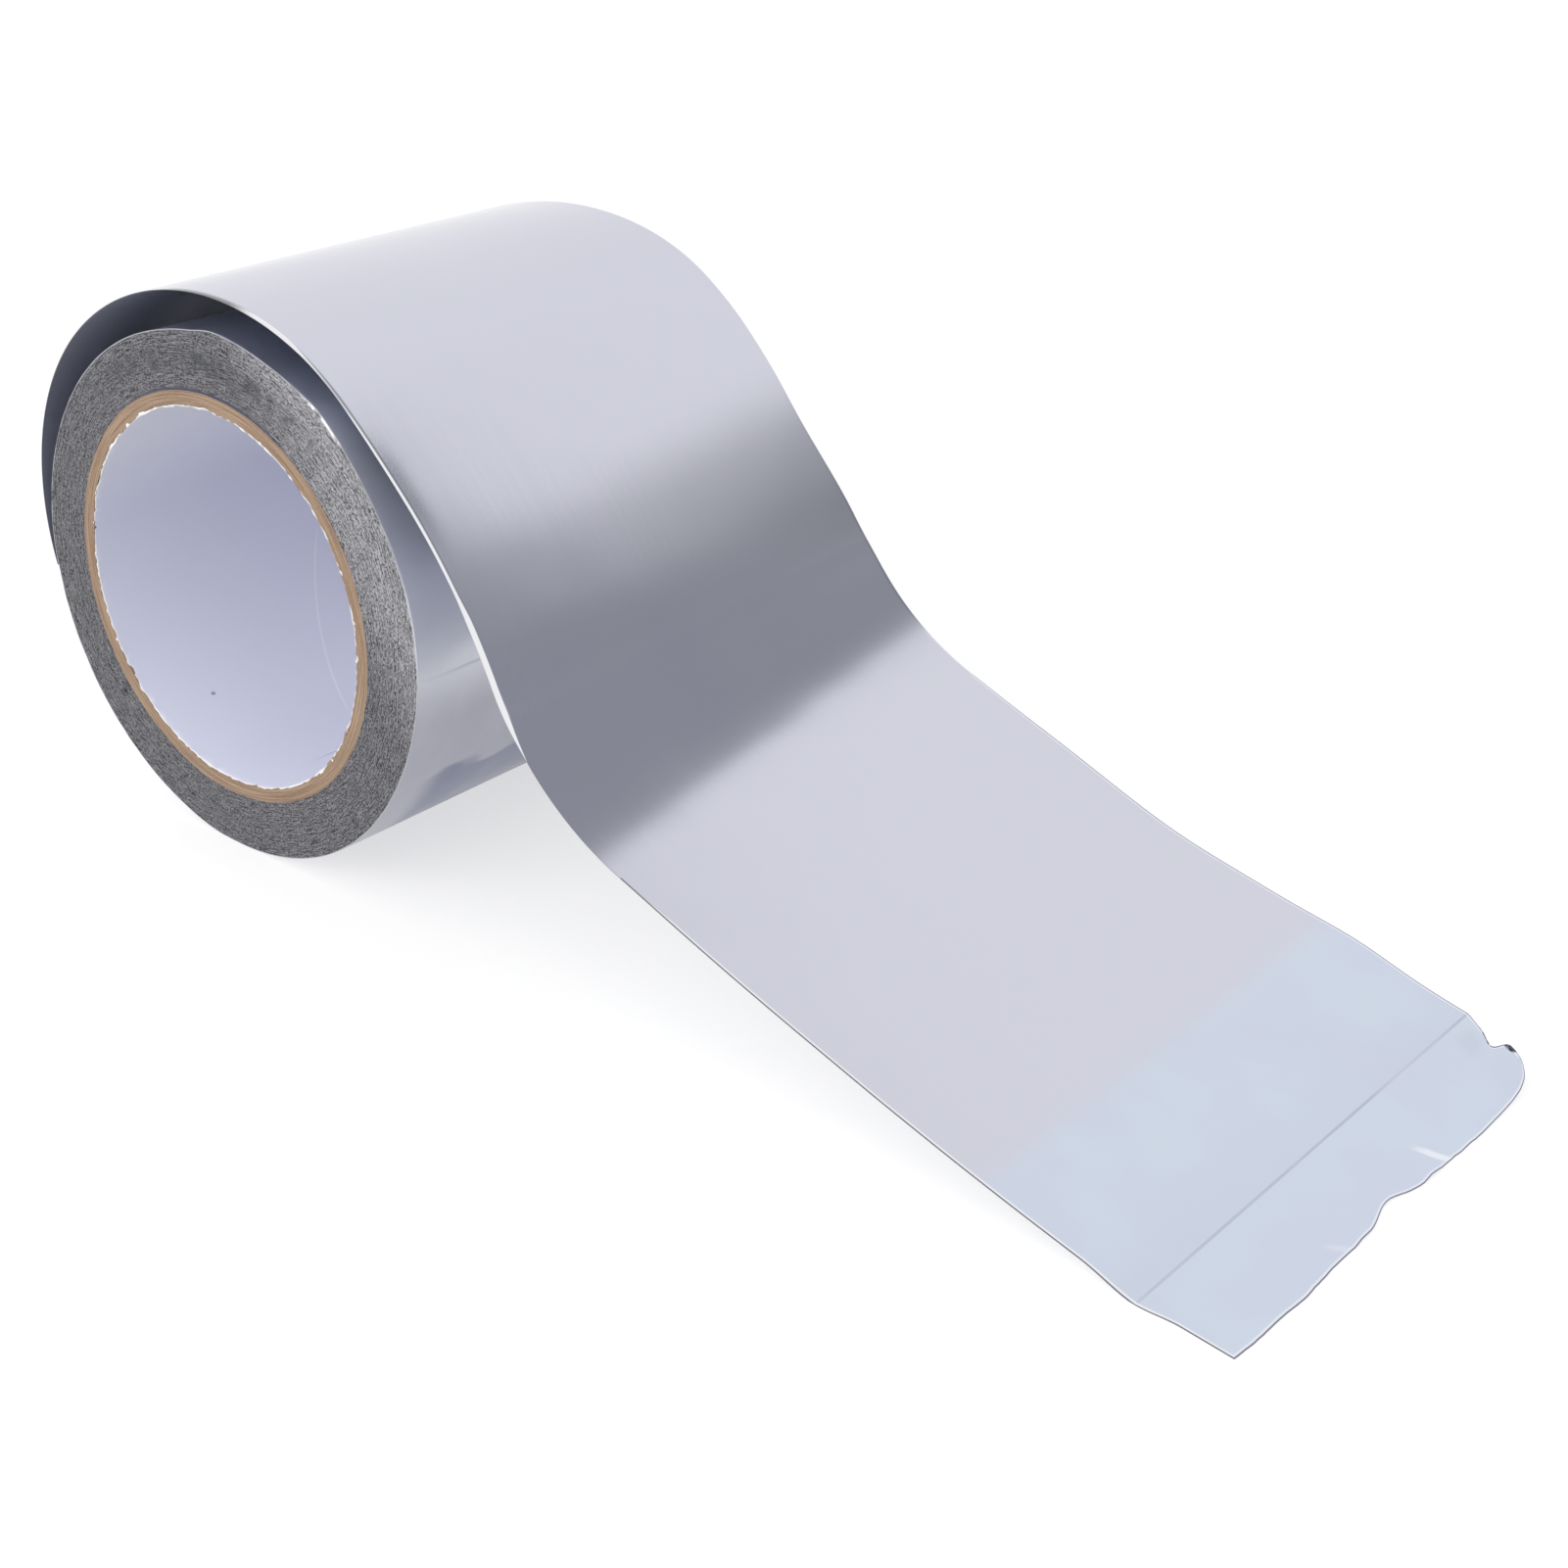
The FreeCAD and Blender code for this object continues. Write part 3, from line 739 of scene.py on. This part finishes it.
def make_free_tape():
    """The loose turn, the ramp and the torn flap as one strip with a bright and an adhesive side."""
    distance, front, line, outward = loose_path(steps=276)
    b = width_shares()
    s, w = np.meshgrid(distance, b * TAPE_WIDTH, indexing="ij")
    inner = front[:, None] + line[:, None] * w[..., None] + outward[:, None] * relief(s, w)[..., None]
    drawn_in = nick(w) * smooth(s, CREASE - 12, CREASE - 0.5)
    inner = inner - line[:, None] * drawn_in[..., None]
    outer = inner + outward[:, None] * THICKNESS

    flap_front = front[-1] + outward[-1] * THICKNESS
    flap_back = flap_front + line[-1] * TAPE_WIDTH
    rows = np.concatenate([[0.03, 0.07], np.linspace(0.12, 0.64, 12), np.linspace(0.67, 1.0, 18)])
    a, bb = np.meshgrid(rows, b, indexing="ij")
    flap = flap_surface(flap_front, flap_back, a, bb)
    notch = NOTCH_DEPTH * bell(a * FLAP_BACK_LENGTH, NOTCH_PLACE, NOTCH_SPREAD) * smooth(bb, 0.93, 1.0)
    drawn_in = nick(bb * TAPE_WIDTH) * (1 - smooth(a, 0.0, 0.45)) + notch
    flap = flap - line[-1] * drawn_in[..., None]

    upper = np.concatenate([outer, flap])
    normals = grid_normals(upper)
    under = upper - normals * THICKNESS
    under[..., 2] = np.maximum(under[..., 2], SURFACE_Z)
    faces, kinds = strip_faces(*upper.shape[:2])

    along = np.concatenate([s, CREASE + a * FLAP_MARKS_SPAN])
    places = spread_over(along.shape, along, b * TAPE_WIDTH, lip_width(along))
    curl_a, curl_b = CURL_MIDDLE
    curl = tuple(flap_surface(flap_front, flap_back, np.array([curl_a]), np.array([curl_b]))[0] * MM)
    materials = [foil_material(curl), adhesive_material(), cut_edge_material()]
    points = np.concatenate([upper, under])
    made = new_object("loose_tape", points, faces, materials, kinds, np.concatenate([places, places]))

    flatter = FLAP_FLATTER * (outward[-1] - normals[len(distance):])
    change = np.concatenate([mirror_change(distance, s, w, line, outward), flatter])
    turn_normals(made, kinds.count(0), change.reshape(-1, 3))
    return made


# ------------------------------------------------------------------ the wound turns
def resting_radius(theta):
    """Distance of the surface from the bore's centre under the roll; elsewhere it sets no limit."""
    down = -np.sin(theta)
    return np.where(down > 0.7, -SURFACE_Z / np.maximum(down, 1e-3), 1e3)


def outside_radius(degrees):
    """Radius of the wound turns' outside, smooth round the roll."""
    at, radii = np.array(OUTSIDE, float).T
    start = -OUTSIDE[0][0]
    offsets = np.linspace(-2, 2, 9)
    found = np.zeros_like(degrees)
    for offset in offsets:
        place = (degrees + offset + start) % 360 - start
        found += np.interp(place, at, radii, period=360)
    found /= len(offsets)
    return np.minimum(found, resting_radius(np.radians(degrees)))


def make_wound_turns():
    """The wound turns as one ring: a smooth outside and two end faces of slightly uneven layers."""
    around = 510                  # steps round; many more would make over 200,000 triangles
    layers = 64
    angle = np.linspace(0, 360, around, endpoint=False)
    share = np.linspace(0, 1, layers)
    theta = np.radians(angle)[:, None]
    outside = outside_radius(angle)[:, None]
    radius = CORE_RADIUS + (outside - CORE_RADIUS) * share[None]
    proud = end_relief(FACE_RELIEF, angle, share)
    near = ring_points(radius, -(HALF_WIDTH - FACE_SUNK + proud), theta)
    far = ring_points(radius, HALF_WIDTH - FACE_SUNK + proud * FAR_FACE_SHARE, theta)
    face_places = spread_over(radius.shape, angle[:, None] * FACE_ARC, radius - CORE_RADIUS, outside - radius)

    spans = np.concatenate([[-49.6, -49.0], np.linspace(-47.5, 47.5, 60), [49.0, 49.6]])
    wave = 0.05 * value_noise(angle[:, None] / 12, spans[None] / 14, 24, wrap=30)
    skin_radius = np.minimum(outside + wave, resting_radius(theta))
    skin = ring_points(skin_radius, spans, theta)
    skin_places = spread_over(skin_radius.shape, angle[:, None] * SKIN_ARC, spans, 0.0)

    ring = there_and_back(np.concatenate([near, skin], axis=1), far)
    places = there_and_back(np.concatenate([face_places, skin_places], axis=1), face_places)
    columns = ring.shape[1]
    on_skin = [1 if layers - 1 <= j < layers + len(spans) else 0 for j in range(columns)]
    materials = [wound_edge_material(), wound_skin_material()]
    return new_object("wound_turns", ring, ring_faces(around, columns), materials, on_skin * around, places)


# ------------------------------------------------------------------ the core
def make_core():
    """Board core: cut ends with plies and a ragged inner rim."""
    around = 720
    angle = np.linspace(0, 360, around, endpoint=False)
    theta = np.radians(angle)[:, None]
    share = np.linspace(0, 1, 15)
    inner = BORE_RADIUS + LINER_THICKNESS
    ragged = rim_relief(RAGGED_BOARD, angle)
    nicks = np.maximum(value_noise(angle / 2.4, 0.5, 33, wrap=150) - 0.72, 0) * 1.6
    rim = np.clip(inner - 0.05 + ragged + nicks, BORE_RADIUS + 0.02, inner + 0.8)[:, None]
    radius = rim + (CORE_RADIUS - 0.02 - rim) * share[None]
    end = HALF_WIDTH - (BOARD_SUNK + end_relief(BOARD_RELIEF, angle, share))
    ring = there_and_back(ring_points(radius, -end, theta), ring_points(radius, end, theta))
    places = spread_over(radius.shape, angle[:, None] * BOARD_ARC, radius - inner, 0.0)
    faces = ring_faces(around, ring.shape[1])
    return new_object(
        "core_board_tube", ring, faces, [board_material()], places=there_and_back(places, places))


def make_liner():
    """Paper ply of the bore, with a torn fringe at each end."""
    around = 1080
    angle = np.linspace(0, 360, around, endpoint=False)
    theta = np.radians(angle)[:, None]
    end = (HALF_WIDTH - LINER_SUNK + rim_relief(TORN_PAPER, angle))[:, None]
    tip = np.array([0.97, 0.99, 0.996, 0.998, 1.0])
    steps = np.concatenate([-tip[::-1], np.linspace(-0.9, 0.9, 25), tip])
    y = steps[None] * end

    # The inside, then the back with its splayed fringe.
    fringe = np.maximum(np.abs(steps) - 0.99, 0)[None] / 0.01
    wall = BORE_RADIUS + 0.05 + 0.05 * value_noise(angle[:, None] / 20, y / 22, 43, wrap=18)
    wall = wall + fringe * (0.08 + 0.16 * value_noise(angle[:, None] / 1.7, steps[None], 44, wrap=212))
    splayed = 0.5 * np.maximum(value_noise(angle[:, None] / 2.4, steps[None], 45, wrap=150), 0)
    back = np.maximum(wall + 0.12, BORE_RADIUS + LINER_THICKNESS) + fringe * splayed
    ring = there_and_back(ring_points(wall, y, theta), ring_points(back, y, theta))

    columns = ring.shape[1]
    torn_rows = 2                 # rows of faces at each end that are torn fibres
    is_torn = [0 if torn_rows <= j < len(steps) - 1 - torn_rows else 1 for j in range(columns)]
    materials = [paper_material(), torn_paper_material()]
    faces = ring_faces(around, columns, flip=True)
    return new_object("core_paper_liner", ring, faces, materials, is_torn * around)


# ------------------------------------------------------------------ studio
def make_world():
    """Soft studio: light all round, with one dim zone that polished foil mirrors on its steep side."""
    world = bpy.data.worlds.new("studio")
    bpy.context.scene.world = world
    world.use_nodes = True
    n = Nodes(world.node_tree)
    n.tree.nodes.clear()
    direction = n.node("ShaderNodeTexCoord").outputs["Generated"]

    def lobe(azimuth, elevation, inner, outer, fall="SMOOTHSTEP"):
        """1 within inner degrees of a direction, falling to 0 at outer degrees."""
        az = math.radians(azimuth)
        el = math.radians(elevation)
        aim = (math.sin(az) * math.cos(el), math.cos(az) * math.cos(el), math.sin(el))
        edge = n.node(
            "ShaderNodeMapRange", Value=n.vector_math("DOT_PRODUCT", direction, aim),
            From_Min=math.cos(math.radians(outer)), From_Max=math.cos(math.radians(inner)))
        edge.interpolation_type = fall
        return edge.outputs[0]

    # The far part of the zone fades to white from its dark middle; the near part, past a border, is even.
    fading = n.math("POWER", lobe(38.7, 9.5, 0.4, 27.9, "LINEAR"), 1.57)
    zone = n.mix(fading, WHITE, (0.22, 0.227, 0.245))
    zone = n.mix(lobe(172.6, -4.7, 121.3, 123.8), zone, (0.355, 0.365, 0.395))
    colour = n.mix(lobe(36, 38, 38, 46), WHITE, zone)
    colour = n.mix(n.node("ShaderNodeLightPath").outputs["Is Camera Ray"], colour, WHITE)
    shader = n.node("ShaderNodeBackground", Color=colour, Strength=1.0)
    n.node("ShaderNodeOutputWorld", Surface=shader.outputs[0])


def make_floor():
    """Plain white floor: it shows the roll's soft shadow and is white where nothing shades it."""
    size = FLOOR_HALF_SIZE
    z = (SURFACE_Z - FLOOR_GAP) * MM
    mesh = bpy.data.meshes.new("floor")
    mesh.from_pydata([(-size, -size, z), (size, -size, z), (size, size, z), (-size, size, z)], [], [(0, 1, 2, 3)])
    floor = bpy.data.objects.new("floor", mesh)
    bpy.context.scene.collection.objects.link(floor)
    material = bpy.data.materials.new("floor_white")
    material.use_nodes = True
    n = Nodes(material.node_tree)
    n.tree.nodes.clear()
    rays = n.node("ShaderNodeLightPath").outputs
    seen = n.math("MAXIMUM", rays["Is Camera Ray"], rays["Is Glossy Ray"])
    seen = n.math("MAXIMUM", seen, rays["Is Transmission Ray"])
    diffuse = n.node("ShaderNodeBsdfDiffuse", Color=(*FLOOR_TONE, 1.0))
    glow = n.node("ShaderNodeEmission", Strength=n.times(seen, FLOOR_GLOW))
    total = n.node("ShaderNodeAddShader")
    n.put(total, 0, diffuse.outputs[0])
    n.put(total, 1, glow.outputs[0])
    n.node("ShaderNodeOutputMaterial", Surface=total.outputs[0])
    mesh.materials.append(material)


def add_softbox(name, location, target, size, power):
    """A lamp that isn't mirrored, so that the bright foil doesn't burn out to white in other views."""
    light = bpy.data.lights.new(name, "AREA")
    light.shape = "RECTANGLE"
    light.size, light.size_y = size
    light.energy = power
    made = bpy.data.objects.new(name, light)
    made.location = location
    made.rotation_mode = "QUATERNION"
    made.rotation_quaternion = (Vector(target) - Vector(location)).to_track_quat("-Z", "Y")
    made.visible_glossy = False
    bpy.context.scene.collection.objects.link(made)


def make_camera():
    data = bpy.data.cameras.new("camera")
    data.lens = CAMERA_LENS
    data.sensor_width = 36.0
    data.clip_start = 0.01
    data.clip_end = 20.0
    camera = bpy.data.objects.new("camera", data)
    location = Vector(CAMERA_PLACE)
    aimed = (Vector(CAMERA_TARGET) - location).to_track_quat("-Z", "Y").to_matrix()
    turned = aimed @ Euler((0, 0, math.radians(CAMERA_ROLL))).to_matrix()
    camera.matrix_world = Matrix.Translation(location) @ turned.to_4x4()
    bpy.context.scene.collection.objects.link(camera)
    bpy.context.scene.camera = camera


make_camera()
make_world()
make_floor()
add_softbox("softbox_front", location=(0.05, -1.2, 0.75), target=(0.05, 0.0, 0.0), size=(1.2, 0.8), power=6.0)
add_softbox("softbox_low", location=(-0.15, -0.9, 0.02), target=(0.0, 0.0, 0.01), size=(0.8, 0.1), power=1.2)

loose_tape = make_free_tape()
wound_turns = make_wound_turns()
core_board_tube = make_core()
core_paper_liner = make_liner()
for piece in (loose_tape, wound_turns, core_board_tube, core_paper_liner):
    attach(piece, "root")
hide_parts("foil_tape")
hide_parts("foil_tape")
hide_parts("core_tube")
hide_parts("core_liner")

bpy.context.scene.view_settings.view_transform = "Standard"
